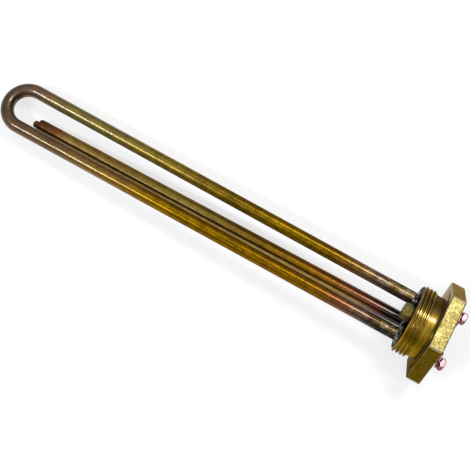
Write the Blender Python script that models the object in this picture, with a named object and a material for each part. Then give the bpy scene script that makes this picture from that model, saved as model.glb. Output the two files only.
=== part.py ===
"""Screw plug immersion heater.

A brass screw plug carries a hairpin heating element, bent from one copper tube, and a straight
copper pocket for a thermostat's feeler. Both are brazed into the plug. Units are metres. The
origin is the centre of the hexagon's outer face, +X points along the tubes into the tank, the
element's two legs lie side by side along Y, and +Z is up.
"""

import math

import bmesh
import bpy
from mathutils import Vector

# Plug
hexagon_across_flats = 0.055
hexagon_thickness = 0.0086
hexagon_corner_radius = 0.0015
hexagon_rim_radius = 0.0005
seat_radius = 0.0245
seat_height = 0.0005
relief_radius = 0.0194
relief_length = 0.0044

# Thread: a parallel pipe thread of one and a quarter inches, eleven turns to the inch
thread_major_radius = 0.020955
thread_pitch = 0.002309
thread_depth = 0.001479
thread_crest_width = 0.00045
thread_length = 0.0090
thread_flank_angle = math.radians(27.5)
thread_phase = math.radians(-182.5)
end_chamfer = 0.0010

# Heating element
tube_radius = 0.0040
tube_wall = 0.0008
leg_spacing = 0.0232
bend_spacing = 0.0244
bend_lean = -0.0028
bend_distance = 0.2541
tube_projection = 0.0010
cold_length = 0.030
pin_radius = 0.00125
spigot_radius = 0.0007
spigot_length = 0.0060
coil_radius = 0.00125
coil_wire_radius = 0.00025
coil_pitch = 0.0080
seal_length = 0.0045

# Thermostat pocket
pocket_offset = 0.0096
pocket_projection = 0.0006
pocket_depth = 0.2467
shoulder_length = 0.0016
pocket_end_wall = 0.0012
nipple_radius = 0.0022
nipple_neck_radius = 0.0019
nipple_length = 0.0031

# Anode nut
anode_nut_offset = 0.0096
anode_nut_across_flats = 0.0088
anode_nut_height = 0.0053
anode_nut_bore_radius = 0.0021
anode_nut_turn = math.radians(-7)

# Braze
braze_reach = 0.0016
braze_height = 0.0022
braze_edge = 0.0004

# Terminals
terminal_spacing = 0.0300
bead_height = 0.0020
tab_thickness = 0.0008
tab_half_width = 0.0035
terminal_nut_across_flats = 0.0070
terminal_nut_height = 0.0032
terminal_bore_radius = 0.00165

# Clearance left between two pieces that touch on the real heater
clearance = 0.0003

# Facets
tube_sides = 24
inner_sides = 12
bend_steps = 20
plug_sides = 72
coil_sides = 3
coil_steps = 7
curve_steps = 4

# Places that follow from the sizes
up = Vector((0.0, 0.0, 1.0))
seat_x = hexagon_thickness + seat_height
thread_start_x = seat_x + relief_length
inner_face_x = thread_start_x + thread_length
tube_bore_radius = tube_radius - tube_wall
bead_start_x = -tube_projection - clearance
pin_end_x = bead_start_x - bead_height
tab_start_x = pin_end_x - clearance
tab_end_x = tab_start_x - tab_thickness
terminal_nut_start_x = tab_end_x - clearance


def clear_scene():
    for item in list(bpy.data.objects):
        bpy.data.objects.remove(item, do_unlink=True)


def make_material(name, colour, roughness, metallic):
    material = bpy.data.materials.new(name)
    material.use_nodes = True
    shader = material.node_tree.nodes["Principled BSDF"]
    shader.inputs["Base Color"].default_value = (*colour, 1.0)
    shader.inputs["Roughness"].default_value = roughness
    shader.inputs["Metallic"].default_value = metallic
    material.diffuse_color = (*colour, 1.0)
    return material


def add_object(name, bm, material=None):
    """Turn a bmesh into a named object, its faces pointing out and its round parts smooth."""
    bmesh.ops.recalc_face_normals(bm, faces=bm.faces)
    mesh = bpy.data.meshes.new(name)
    bm.to_mesh(mesh)
    bm.free()
    mesh.shade_smooth()
    mesh.set_sharp_from_angle(angle=math.radians(35))
    item = bpy.data.objects.new(name, mesh)
    bpy.context.scene.collection.objects.link(item)
    if material:
        mesh.materials.append(material)
    return item


def shape_with(item, tool, operation):
    """Cut, join or trim a piece with a helper solid, which is left out of the heater itself."""
    tool.hide_render = True
    tool.display_type = "WIRE"
    modifier = item.modifiers.new(tool.name, "BOOLEAN")
    modifier.operation = operation
    modifier.solver = "EXACT"
    modifier.object = tool


def spun(name, profile, centre, sides, material=None, hollow=False):
    """Turn a profile of (x, radius) points about an axis along X through the centre (y, z).

    A solid's profile starts and ends on the axis. A hollow ring's profile is a closed loop.
    """
    bm = bmesh.new()
    axis_point = Vector((0.0, *centre))
    points = [bm.verts.new(axis_point + Vector((x, radius, 0.0))) for x, radius in profile]
    lines = [bm.edges.new(pair) for pair in zip(points, points[1:])]
    if hollow:
        lines.append(bm.edges.new((points[-1], points[0])))
    bmesh.ops.spin(
        bm,
        geom=points + lines,
        cent=axis_point,
        axis=(1.0, 0.0, 0.0),
        angle=2 * math.pi,
        steps=sides,
    )
    bmesh.ops.remove_doubles(bm, verts=bm.verts, dist=1e-6)
    return add_object(name, bm, material)


def rod(name, start_x, end_x, radius, centre, sides):
    """Plain round rod along X, used as a drill."""
    profile = [(start_x, 0.0), (start_x, radius), (end_x, radius), (end_x, 0.0)]
    return spun(name, profile, centre, sides)


def join_rings(bm, rings, loop=False):
    """Skin a row of vertex rings. A loop joins its last ring to its first, other rows get ends."""
    pairs = list(zip(rings, rings[1:]))
    if loop:
        pairs.append((rings[-1], rings[0]))
    else:
        bm.faces.new(rings[0])
        bm.faces.new(rings[-1])
    for first, second in pairs:
        for corner in range(len(first)):
            following = (corner + 1) % len(first)
            bm.faces.new((first[corner], first[following], second[following], second[corner]))


def hexagon_outline(across_flats, corner_radius):
    """Points (y, z) round a hexagon with rounded corners, two of them on the Y line."""
    corner_distance = (across_flats / 2 - corner_radius) / math.cos(math.radians(30))
    outline = []
    for corner in range(6):
        middle = math.radians(60) * corner
        for step in range(curve_steps + 1):
            angle = middle + math.radians(60) * (step / curve_steps - 0.5)
            y = corner_distance * math.cos(middle) + corner_radius * math.cos(angle)
            z = corner_distance * math.sin(middle) + corner_radius * math.sin(angle)
            outline.append((y, z))
    return outline


def lofted(name, sections, material):
    """Solid along X through outlines given as (x, outline)."""
    bm = bmesh.new()
    rings = [[bm.verts.new((x, y, z)) for y, z in outline] for x, outline in sections]
    join_rings(bm, rings)
    return add_object(name, bm, material)


def hairpin_route():
    """Centre line of the element: out along one leg, round the bend and back along the other."""
    bend_centre = Vector((inner_face_x + bend_distance, bend_lean, 0.0))
    bend = []
    for step in range(bend_steps + 1):
        angle = math.pi / 2 - math.pi * step / bend_steps
        spoke = Vector((math.cos(angle), math.sin(angle), 0.0))
        bend.append(bend_centre + spoke * bend_spacing / 2)
    root_places = (-tube_projection, inner_face_x)
    first_leg = [Vector((x, leg_spacing / 2, 0.0)) for x in root_places]
    second_leg = [Vector((x, -leg_spacing / 2, 0.0)) for x in reversed(root_places)]
    return first_leg + bend + second_leg


def route_length(route):
    return sum((second - first).length for first, second in zip(route, route[1:]))


def route_frame(route, distance):
    """Centre, direction and sideways direction of a section at a distance along a flat route."""
    travelled = 0.0
    before = None
    for first, second in zip(route, route[1:]):
        along = (second - first).normalized()
        remaining = distance - travelled
        if remaining < (second - first).length - 1e-7 or second is route[-1]:
            break
        travelled += (second - first).length
        before = along
    centre = first + along * remaining
    if before and abs(remaining) < 1e-7:
        along = (along + before).normalized()
    return centre, along, Vector((-along.y, along.x, 0.0))


def route_stops(route, start, end):
    """The two distances given, and the route's own corners between them."""
    stops = [start]
    travelled = 0.0
    for first, second in zip(route, route[1:]):
        travelled += (second - first).length
        if start + 1e-6 < travelled < end - 1e-6:
            stops.append(travelled)
    return stops + [end]


def swept(name, route, profile, sides, material, hollow=False):
    """Carry round sections of (distance, radius) along a route. A closed loop makes a tube."""
    bm = bmesh.new()
    rings = []
    for distance, radius in profile:
        centre, _, side = route_frame(route, distance)
        ring = []
        for step in range(sides):
            turn = 2 * math.pi * step / sides
            spoke = side * math.cos(turn) + up * math.sin(turn)
            ring.append(bm.verts.new(centre + spoke * radius))
        rings.append(ring)
    join_rings(bm, rings, loop=hollow)
    return add_object(name, bm, material)


def swept_tube(name, route, start, end, outer_radius, bore_radius, sides, material):
    stops = route_stops(route, start, end)
    outside = [(stop, outer_radius) for stop in stops]
    inside = [(stop, bore_radius) for stop in reversed(stops)]
    return swept(name, route, outside + inside, sides, material, hollow=True)


def make_thread_groove():
    """The groove between two turns, wound right-handed from the relief past the inner end."""
    root_radius = thread_major_radius - thread_depth
    lip_radius = thread_major_radius + clearance / 2
    flank_slope = math.tan(thread_flank_angle)
    root_width = thread_pitch - thread_crest_width - 2 * thread_depth * flank_slope
    lip_width = root_width + 2 * (lip_radius - root_radius) * flank_slope
    section = [
        (-lip_width / 2, lip_radius),
        (-root_width / 2, root_radius),
        (root_width / 2, root_radius),
        (lip_width / 2, lip_radius),
    ]
    first_x = thread_start_x - 0.65 * lip_width
    last_x = inner_face_x + 0.65 * lip_width
    steps = math.ceil((last_x - first_x) / thread_pitch * plug_sides)
    bm = bmesh.new()
    rings = []
    for step in range(steps + 1):
        turn = 2 * math.pi * step / plug_sides + thread_phase
        x = first_x + thread_pitch * step / plug_sides
        ring = []
        for shift, radius in section:
            ring.append(bm.verts.new((x + shift, radius * math.cos(turn), radius * math.sin(turn))))
        rings.append(ring)
    join_rings(bm, rings)
    return add_object("thread_groove", bm)


def make_plug(material):
    """Forged hexagon with the seat, relief and thread turned on it, bored for the three tubes."""
    rim_sections = []
    for step in range(curve_steps // 2 + 1):
        angle = math.pi * step / curve_steps
        depth = hexagon_rim_radius * (1 - math.cos(angle))
        inset = hexagon_rim_radius * (1 - math.sin(angle))
        across_flats = hexagon_across_flats - 2 * inset
        rim_sections.append((depth, hexagon_outline(across_flats, hexagon_corner_radius - inset)))
    far_sections = [(hexagon_thickness - x, outline) for x, outline in reversed(rim_sections)]
    plug = lofted("plug_body", rim_sections + far_sections, material)

    root_x = hexagon_thickness / 2
    stem_profile = [
        (root_x, 0.0),
        (root_x, seat_radius),
        (seat_x, seat_radius),
        (seat_x, relief_radius),
        (thread_start_x, relief_radius),
        (thread_start_x + end_chamfer / 2, thread_major_radius),
        (inner_face_x - end_chamfer, thread_major_radius),
        (inner_face_x, thread_major_radius - end_chamfer),
        (inner_face_x, 0.0),
    ]
    shape_with(plug, spun("plug_stem", stem_profile, (0.0, 0.0), plug_sides), "UNION")
    shape_with(plug, make_thread_groove(), "DIFFERENCE")

    bore_centres = {
        "leg_bore_a": (leg_spacing / 2, 0.0),
        "leg_bore_b": (-leg_spacing / 2, 0.0),
        "pocket_bore": (0.0, -pocket_offset),
    }
    overrun = hexagon_thickness / 2
    for name, centre in bore_centres.items():
        drill = rod(
            name, -overrun, inner_face_x + overrun, tube_radius + clearance, centre, tube_sides
        )
        shape_with(plug, drill, "DIFFERENCE")


def make_sheath(material):
    """One copper tube, bent into a hairpin and open at both ends behind the hexagon."""
    route = hairpin_route()
    length = route_length(route)
    swept_tube(
        "element_sheath", route, 0.0, length, tube_radius, tube_bore_radius, tube_sides, material
    )


def make_magnesia(material):
    """Packed magnesia between the sheath and the coil, from one end seal to the other."""
    route = hairpin_route()
    length = route_length(route)
    start = seal_length + 2 * clearance
    bore = max(pin_radius, coil_radius + coil_wire_radius) + clearance
    outside = tube_bore_radius - clearance
    swept_tube(
        "magnesia_fill", route, start, length - start, outside, bore, inner_sides, material
    )


def make_coil(material):
    """Resistance wire wound round the spigots of both cold pins, drawn with an open pitch."""
    route = hairpin_route()
    length = route_length(route)
    shoulder = tube_projection + inner_face_x + cold_length
    start = shoulder + coil_wire_radius + clearance
    wound_length = length - 2 * start
    steps = math.ceil(wound_length / coil_pitch * coil_steps)
    bm = bmesh.new()
    rings = []
    for step in range(steps + 1):
        centre, along, side = route_frame(route, start + wound_length * step / steps)
        turn = 2 * math.pi * step / coil_steps
        outward = side * math.cos(turn) + up * math.sin(turn)
        wire_centre = centre + outward * coil_radius
        ring = []
        for corner in range(coil_sides):
            angle = 2 * math.pi * corner / coil_sides
            spoke = outward * math.cos(angle) + along * math.sin(angle)
            ring.append(bm.verts.new(wire_centre + spoke * coil_wire_radius))
        rings.append(ring)
    join_rings(bm, rings)
    add_object("heating_coil", bm, material)


def make_leg_end(suffix, steel, sealant):
    """Cold pin with a spigot for the coil, and the seal that closes the sheath round it."""
    route = hairpin_route()
    if suffix == "b":
        route.reverse()
    pin_start = pin_end_x + tube_projection
    shoulder = tube_projection + inner_face_x + cold_length
    profile = [(stop, pin_radius) for stop in route_stops(route, pin_start, shoulder)]
    profile.append((shoulder, spigot_radius))
    profile.append((shoulder + spigot_length, spigot_radius))
    swept(f"cold_pin_{suffix}", route, profile, inner_sides, steel)
    swept_tube(
        f"end_seal_{suffix}",
        route,
        clearance,
        clearance + seal_length,
        tube_bore_radius - clearance,
        pin_radius + clearance,
        inner_sides,
        sealant,
    )


def make_pocket(material):
    """Straight tube, open behind the hexagon, its far end swaged down to a closed nipple."""
    neck_x = inner_face_x + pocket_depth
    tip_x = neck_x + nipple_length
    bore_end_x = neck_x - pocket_end_wall
    quarter_turns = [math.pi / 2 * step / curve_steps for step in range(curve_steps + 1)]
    profile = []
    for angle in quarter_turns:
        x = bore_end_x - tube_bore_radius / 2 * (1 - math.cos(angle))
        profile.append((x, tube_bore_radius * math.sin(angle)))
    profile.append((-pocket_projection, tube_bore_radius))
    profile.append((-pocket_projection, tube_radius))
    for angle in quarter_turns:
        x = neck_x - shoulder_length * (1 - math.sin(angle))
        radius = nipple_neck_radius + (tube_radius - nipple_neck_radius) * math.cos(angle)
        profile.append((x, radius))
    round_start_x = tip_x - nipple_radius * 0.8
    for angle in quarter_turns[:-1]:
        x = round_start_x + (tip_x - round_start_x) * math.sin(angle)
        profile.append((x, nipple_radius * math.cos(angle)))
    profile.append((tip_x, 0.0))
    spun("thermostat_pocket", profile, (0.0, -pocket_offset), tube_sides, material)


def make_braze(name, centre, material):
    """Concave fillet of braze round a tube's root on the plug's inner face."""
    foot_x = inner_face_x + clearance
    inner_radius = tube_radius + clearance
    profile = [(foot_x, inner_radius), (foot_x, inner_radius + braze_reach)]
    for step in range(curve_steps + 1):
        angle = math.pi / 2 * step / curve_steps
        x = foot_x + braze_edge + (braze_height - braze_edge) * (1 - math.cos(angle))
        radius = inner_radius + braze_edge + (braze_reach - braze_edge) * (1 - math.sin(angle))
        profile.append((x, radius))
    profile.append((foot_x + braze_height, inner_radius))
    spun(name, profile, centre, tube_sides, material, hollow=True)


def make_nut(name, centre, low_x, height, across_flats, bore_radius, turn, material):
    """Hexagon nut along X with a clear bore, its corners turned off at both ends."""
    high_x = low_x + height
    flat_distance = across_flats / 2
    face_radius = flat_distance * 0.97
    bm = bmesh.new()
    rings = [[] for _ in range(6)]
    for step in range(tube_sides):
        angle = 2 * math.pi * step / tube_sides
        distance = flat_distance / math.cos(angle % math.radians(60) - math.radians(30))
        fall = (distance - face_radius) * math.tan(math.radians(30))
        section = [
            (low_x, bore_radius),
            (high_x, bore_radius),
            (high_x, face_radius),
            (high_x - fall, distance),
            (low_x + fall, distance),
            (low_x, face_radius),
        ]
        for ring, (x, radius) in zip(rings, section):
            y = centre[0] + radius * math.cos(angle + turn)
            z = centre[1] + radius * math.sin(angle + turn)
            ring.append(bm.verts.new((x, y, z)))
    join_rings(bm, rings, loop=True)
    add_object(name, bm, material)


def make_terminal(suffix, direction, ceramic, copper):
    """Ceramic bead on the sheath's end, and a tab on the pin's end with the terminal nut on it."""
    pin_y = direction * leg_spacing / 2
    nut_y = direction * terminal_spacing / 2
    chamfer = clearance
    bore_radius = pin_radius + clearance
    bead_profile = [
        (bead_start_x, bore_radius),
        (bead_start_x, tube_radius),
        (pin_end_x + chamfer, tube_radius),
        (pin_end_x, tube_radius - chamfer),
        (pin_end_x, bore_radius),
    ]
    spun(f"terminal_bead_{suffix}", bead_profile, (pin_y, 0.0), inner_sides, ceramic, hollow=True)

    outline = []
    half_turn = tube_sides // 2
    for end_y, first_angle in ((nut_y, -math.pi / 2), (pin_y, math.pi / 2)):
        for step in range(half_turn + 1):
            angle = first_angle + math.pi * step / half_turn
            y = end_y + direction * tab_half_width * math.cos(angle)
            outline.append((y, tab_half_width * math.sin(angle)))
    sections = [(tab_start_x, outline), (tab_end_x, outline)]
    tab = lofted(f"terminal_tab_{suffix}", sections, copper)
    overrun = tab_thickness
    drill = rod(
        f"terminal_tab_{suffix}_drill",
        tab_end_x - overrun,
        tab_start_x + overrun,
        terminal_bore_radius,
        (nut_y, 0.0),
        inner_sides,
    )
    shape_with(tab, drill, "DIFFERENCE")
    make_nut(
        f"terminal_nut_{suffix}",
        (nut_y, 0.0),
        terminal_nut_start_x - terminal_nut_height,
        terminal_nut_height,
        terminal_nut_across_flats,
        terminal_bore_radius,
        0.0,
        copper,
    )


clear_scene()
brass = make_material("machined_brass", (0.60, 0.42, 0.12), 0.30, 1.0)
sheath_copper = make_material("tarnished_copper", (0.42, 0.28, 0.10), 0.32, 1.0)
pocket_copper = make_material("fired_copper", (0.40, 0.20, 0.11), 0.34, 1.0)
silver_braze = make_material("silver_braze", (0.48, 0.49, 0.50), 0.38, 1.0)
tinned_copper = make_material("pink_copper", (0.90, 0.62, 0.60), 0.25, 1.0)
steatite = make_material("steatite", (0.85, 0.80, 0.72), 0.45, 0.0)
magnesia = make_material("packed_magnesia", (0.88, 0.87, 0.83), 0.90, 0.0)
nickel_chrome = make_material("nickel_chrome_wire", (0.45, 0.43, 0.40), 0.40, 1.0)
pin_steel = make_material("pin_steel", (0.55, 0.55, 0.55), 0.35, 1.0)
silicone = make_material("silicone_seal", (0.62, 0.16, 0.10), 0.55, 0.0)

make_plug(brass)
make_sheath(sheath_copper)
make_magnesia(magnesia)
make_coil(nickel_chrome)
make_pocket(pocket_copper)
make_nut(
    "anode_nut",
    (0.0, anode_nut_offset),
    inner_face_x + clearance,
    anode_nut_height,
    anode_nut_across_flats,
    anode_nut_bore_radius,
    anode_nut_turn,
    brass,
)
braze_places = {
    "braze_leg_a": (leg_spacing / 2, 0.0),
    "braze_leg_b": (-leg_spacing / 2, 0.0),
    "braze_pocket": (0.0, -pocket_offset),
}
for braze_name, braze_centre in braze_places.items():
    make_braze(braze_name, braze_centre, silver_braze)
for leg, outward in (("a", 1), ("b", -1)):
    make_leg_end(leg, pin_steel, silicone)
    make_terminal(leg, outward, steatite, tinned_copper)
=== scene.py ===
import math

import bmesh
import bpy
from mathutils import Matrix, Vector


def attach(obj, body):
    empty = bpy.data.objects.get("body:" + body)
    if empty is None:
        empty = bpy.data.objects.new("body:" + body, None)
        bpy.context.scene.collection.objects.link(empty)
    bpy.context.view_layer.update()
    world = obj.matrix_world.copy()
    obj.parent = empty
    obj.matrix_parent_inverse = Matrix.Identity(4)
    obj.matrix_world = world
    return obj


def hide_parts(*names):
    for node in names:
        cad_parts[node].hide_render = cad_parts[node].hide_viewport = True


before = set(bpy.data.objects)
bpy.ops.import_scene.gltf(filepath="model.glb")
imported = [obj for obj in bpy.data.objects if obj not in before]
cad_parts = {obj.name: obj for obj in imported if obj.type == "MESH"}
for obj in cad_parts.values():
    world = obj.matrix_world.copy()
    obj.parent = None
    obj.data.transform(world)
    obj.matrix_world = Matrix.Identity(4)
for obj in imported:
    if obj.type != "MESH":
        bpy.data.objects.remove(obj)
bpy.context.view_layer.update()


# Plug: the threaded barrel, turned from the same forged brass as the hexagon. A rounded pipe
# thread runs from the relief behind the seat to the chamfer at the inner face, and the finish is
# what a lathe leaves, bright on the crests. On the -Y side the valleys and the relief are
# darkened:
# partly dark cutting oil dried into them, partly painted shade.
mm = 0.001
hexagon_thickness = 8.6 * mm
seat_x = 9.1 * mm
inner_face_x = 22.5 * mm
thread_major_radius = 20.955 * mm


def colour(code):
    """A colour written as sRGB hex, turned to the linear values that shaders work in."""
    channels = [int(code[place : place + 2], 16) / 255 for place in (1, 3, 5)]
    linear = [c / 12.92 if c <= 0.04045 else ((c + 0.055) / 1.055) ** 2.4 for c in channels]
    return (*linear, 1.0)


def add_node(tree, kind, inputs=None, **settings):
    """Add a node, then set its settings and set or link its inputs."""
    node = tree.nodes.new(kind)
    for setting, value in settings.items():
        setattr(node, setting, value)
    for socket, value in (inputs or {}).items():
        if isinstance(value, bpy.types.NodeSocket):
            tree.links.new(value, node.inputs[socket])
        else:
            node.inputs[socket].default_value = value
    return node


def new_material(name, metallic, roughness, **sockets):
    """A material with one Principled shader, whose plain values are set on its own sockets."""
    material = bpy.data.materials.new(name)
    material.use_nodes = True
    shader = material.node_tree.nodes["Principled BSDF"]
    shader.inputs["Metallic"].default_value = metallic
    shader.inputs["Roughness"].default_value = roughness
    for socket, value in sockets.items():
        shader.inputs[socket.replace("_", " ").title()].default_value = value
    return material.node_tree, shader, material


def set_ramp(node, stops):
    """Give a colour ramp its stops, as (place, sRGB hex) pairs."""
    ramp = node.color_ramp
    while len(ramp.elements) < len(stops):
        ramp.elements.new(1.0)
    for element, (place, code) in zip(ramp.elements, stops):
        element.position = place
        element.color = colour(code)


def plug_place(tree):
    """A point's place on the plug, the place's X, Y and Z, and how far it is from the axis."""
    place = add_node(tree, "ShaderNodeTexCoord").outputs["Object"]
    split = add_node(tree, "ShaderNodeSeparateXYZ", {0: place})
    radial = add_node(
        tree, "ShaderNodeCombineXYZ", {"Y": split.outputs["Y"], "Z": split.outputs["Z"]}
    )
    radius = add_node(tree, "ShaderNodeVectorMath", {0: radial.outputs[0]}, operation="LENGTH")
    return place, split, radius.outputs["Value"]


def patchy(tree, place, size, tones, detail=3.0, roughness=0.5):
    """Tones that change over a surface in patches of one size, with the pattern they follow."""
    patches = add_node(
        tree,
        "ShaderNodeTexNoise",
        {"Vector": place, "Scale": 1 / size, "Detail": detail, "Roughness": roughness},
    )
    tone = add_node(tree, "ShaderNodeValToRGB", {"Fac": patches.outputs["Fac"]})
    set_ramp(tone, tones)
    return patches.outputs["Fac"], tone.outputs["Color"]


def stained(tree, under, over, measure, reach, weights=(0.0, 1.0)):
    """Lay a stain over a colour, its weight changing as a measure goes over its reach."""
    weight = add_node(
        tree,
        "ShaderNodeMapRange",
        {
            "Value": measure,
            "From Min": reach[0],
            "From Max": reach[1],
            "To Min": weights[0],
            "To Max": weights[1],
        },
    )
    mixed = add_node(
        tree,
        "ShaderNodeMix",
        {"Factor": weight.outputs[0], 6: under, 7: over},
        data_type="RGBA",
    )
    return weight.outputs[0], mixed.outputs[2]


def shaded(tree, under, measure, reach, tones):
    """Darken or lighten a colour: what multiplies it changes as a measure goes over its reach."""
    tone = add_node(
        tree,
        "ShaderNodeMapRange",
        {
            "Value": measure,
            "From Min": reach[0],
            "From Max": reach[1],
            "To Min": tones[0],
            "To Max": tones[1],
        },
    )
    mixed = add_node(
        tree,
        "ShaderNodeMix",
        {"Factor": 1.0, 6: under, 7: tone.outputs[0]},
        data_type="RGBA",
        blend_type="MULTIPLY",
    )
    return mixed.outputs[2]


def new_tree(name, **sizes):
    """A geometry tree with one named number input for each size."""
    tree = bpy.data.node_groups.new(name, "GeometryNodeTree")
    tree.interface.new_socket("Geometry", in_out="INPUT", socket_type="NodeSocketGeometry")
    tree.interface.new_socket("Geometry", in_out="OUTPUT", socket_type="NodeSocketGeometry")
    for size in sizes:
        title = size.replace("_", " ").title()
        tree.interface.new_socket(title, in_out="INPUT", socket_type="NodeSocketFloat")
    return tree, add_node(tree, "NodeGroupInput")


def grown(name, base, tree, **sizes):
    """Run a geometry tree on a base object and keep what it makes as a plain mesh."""
    modifier = base.modifiers.new(tree.name, "NODES")
    modifier.node_group = tree
    values = {size.replace("_", " ").title(): value for size, value in sizes.items()}
    for item in tree.interface.items_tree:
        if item.in_out == "INPUT" and item.name in values:
            modifier[item.identifier] = values[item.name]
    graph = bpy.context.evaluated_depsgraph_get()
    mesh = bpy.data.meshes.new_from_object(
        base.evaluated_get(graph), preserve_all_data_layers=True, depsgraph=graph
    )
    bpy.data.objects.remove(base)
    piece = bpy.data.objects.new(name, mesh)
    bpy.context.scene.collection.objects.link(piece)
    return piece


def smooth(piece, angle=32):
    """Outward faces, shaded smooth but for the edges that are sharper than an angle."""
    bm = bmesh.new()
    bm.from_mesh(piece.data)
    bmesh.ops.recalc_face_normals(bm, faces=bm.faces)
    bm.to_mesh(piece.data)
    bm.free()
    piece.data.shade_smooth()
    piece.data.set_sharp_from_angle(angle=math.radians(angle))


# Turned brass. The tool leaves rings a quarter of a millimetre apart, drawn four times as coarse
# so that they show, and handling has toned the metal from pale gold to olive.
turned_pitch = 1.0 * mm
relief_edge = (13.2 * mm, 14.2 * mm)
tree, shader, turned_brass = new_material("turned_brass", 1.0, 0.26, coat_roughness=0.14)
place, split, radius = plug_place(tree)
tones = [(0.32, "#765907"), (0.50, "#98750e"), (0.68, "#ab8c22")]
_, toned = patchy(tree, place, 8.33 * mm, tones, detail=4.0, roughness=0.6)
valley = add_node(
    tree,
    "ShaderNodeMapRange",
    {"Value": radius, "From Min": 19.6 * mm, "From Max": 20.7 * mm, "To Min": 1.0, "To Max": 0.0},
)
# Painted shade: the darkening of the valleys and the relief is laid on the -Y side only.
shade_side = add_node(
    tree,
    "ShaderNodeMapRange",
    {
        "Value": split.outputs["Y"],
        "From Min": -9 * mm,
        "From Max": 4 * mm,
        "To Min": 0.95,
        "To Max": 0.02,
    },
)
oil_and_shade = add_node(
    tree, "ShaderNodeMath", {0: valley.outputs[0], 1: shade_side.outputs[0]}, operation="MULTIPLY"
)
oiled_and_shaded = add_node(
    tree,
    "ShaderNodeMix",
    {"Factor": oil_and_shade.outputs[0], 6: toned, 7: colour("#47380a")},
    data_type="RGBA",
)
waxed = add_node(
    tree,
    "ShaderNodeMapRange",
    {
        "Value": split.outputs["Z"],
        "From Min": 16.5 * mm,
        "From Max": 18.5 * mm,
        "To Min": 0.05,
        "To Max": 0.85,
    },
)
tree.links.new(waxed.outputs[0], shader.inputs["Coat Weight"])
# The relief is cut with a worn tool: its brass is paler and scatters more than the thread's.
torn = add_node(
    tree,
    "ShaderNodeMapRange",
    {
        "Value": split.outputs["X"],
        "From Min": relief_edge[0],
        "From Max": relief_edge[1],
        "To Min": 0.38,
        "To Max": 0.26,
    },
)
tree.links.new(torn.outputs[0], shader.inputs["Roughness"])
paled = shaded(tree, oiled_and_shaded.outputs[2], split.outputs["X"], relief_edge, (1.38, 1.0))
face_edge = (22.40 * mm, 22.48 * mm)
scorch, scorched = stained(tree, paled, colour("#363126"), split.outputs["X"], face_edge)
tree.links.new(scorched, shader.inputs["Base Color"])
edge_tint = add_node(
    tree,
    "ShaderNodeMix",
    {"Factor": scorch, 6: colour("#aca24c"), 7: colour("#24201c")},
    data_type="RGBA",
)
tree.links.new(edge_tint.outputs[2], shader.inputs["Specular Tint"])
# The oil's film scatters the light, so the thread's valleys look softer than its crests.
filmed = add_node(
    tree,
    "ShaderNodeMapRange",
    {
        "Value": split.outputs["X"],
        "From Min": relief_edge[0],
        "From Max": relief_edge[1],
        "To Min": 0.12,
        "To Max": 0.5,
    },
)
filmed = add_node(
    tree, "ShaderNodeMath", {0: valley.outputs[0], 1: filmed.outputs[0]}, operation="MULTIPLY"
)
bare = add_node(tree, "ShaderNodeMath", {0: 1.0, 1: filmed.outputs[0]}, operation="SUBTRACT")
bare = add_node(tree, "ShaderNodeMath", {0: bare.outputs[0], 1: scorch}, operation="MAXIMUM")
tree.links.new(bare.outputs[0], shader.inputs["Metallic"])
rings = add_node(
    tree,
    "ShaderNodeTexWave",
    {"Vector": place, "Scale": math.pi / (10 * turned_pitch), "Distortion": 0.6},
    wave_type="BANDS",
    bands_direction="X",
)
scored = add_node(
    tree,
    "ShaderNodeBump",
    {"Height": rings.outputs["Fac"], "Strength": 0.05, "Distance": 0.1 * mm},
)
tree.links.new(scored.outputs["Normal"], shader.inputs["Normal"])

# The barrel is one surface whose radius follows a rule: the lowest of the thread's form, the
# relief with its sloping shoulder, and the chamfer at the inner face.
tree, sizes = new_tree(
    "pipe_thread",
    start=0,
    relief_end=0,
    inner_face=0,
    relief_radius=0,
    major_radius=0,
    depth=0,
    pitch=0,
    crest_half_width=0,
    chamfer=0,
    crest_place=0,
)
columns = 176
sheet = add_node(
    tree,
    "GeometryNodeMeshGrid",
    {"Size X": 1.0, "Size Y": 1.0, "Vertices X": columns, "Vertices Y": 289},
)
spot = add_node(tree, "GeometryNodeInputPosition")
spot = add_node(tree, "ShaderNodeSeparateXYZ", {0: spot.outputs[0]})
column = add_node(
    tree,
    "ShaderNodeMath",
    {0: spot.outputs["X"], 1: float(columns - 1), 2: (columns - 1) / 2},
    operation="MULTIPLY_ADD",
)
along = add_node(
    tree,
    "ShaderNodeMapRange",
    {
        "Value": column.outputs[0],
        "From Min": 1.0,
        "From Max": float(columns - 2),
        "To Min": sizes.outputs["Start"],
        "To Max": sizes.outputs["Inner Face"],
    },
)
turn = add_node(
    tree,
    "ShaderNodeMath",
    {0: spot.outputs["Y"], 1: 2 * math.pi, 2: math.pi},
    operation="MULTIPLY_ADD",
)
from_crest = add_node(
    tree,
    "ShaderNodeMath",
    {0: along.outputs[0], 1: sizes.outputs["Crest Place"]},
    operation="SUBTRACT",
)
in_turns = add_node(
    tree,
    "ShaderNodeMath",
    {0: from_crest.outputs[0], 1: sizes.outputs["Pitch"]},
    operation="DIVIDE",
)
wound = add_node(
    tree, "ShaderNodeMath", {0: turn.outputs[0], 1: 1 / (2 * math.pi)}, operation="MULTIPLY"
)
unwound = add_node(
    tree, "ShaderNodeMath", {0: in_turns.outputs[0], 1: wound.outputs[0]}, operation="SUBTRACT"
)
nearest = add_node(
    tree, "ShaderNodeMath", {0: unwound.outputs[0], 1: 0.5}, operation="PINGPONG"
)
to_crest = add_node(
    tree,
    "ShaderNodeMath",
    {0: nearest.outputs[0], 1: sizes.outputs["Pitch"]},
    operation="MULTIPLY",
)
half_pitch = add_node(
    tree, "ShaderNodeMath", {0: sizes.outputs["Pitch"], 1: 0.5}, operation="MULTIPLY"
)
root_place = add_node(
    tree,
    "ShaderNodeMath",
    {0: half_pitch.outputs[0], 1: sizes.outputs["Crest Half Width"]},
    operation="SUBTRACT",
)
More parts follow.
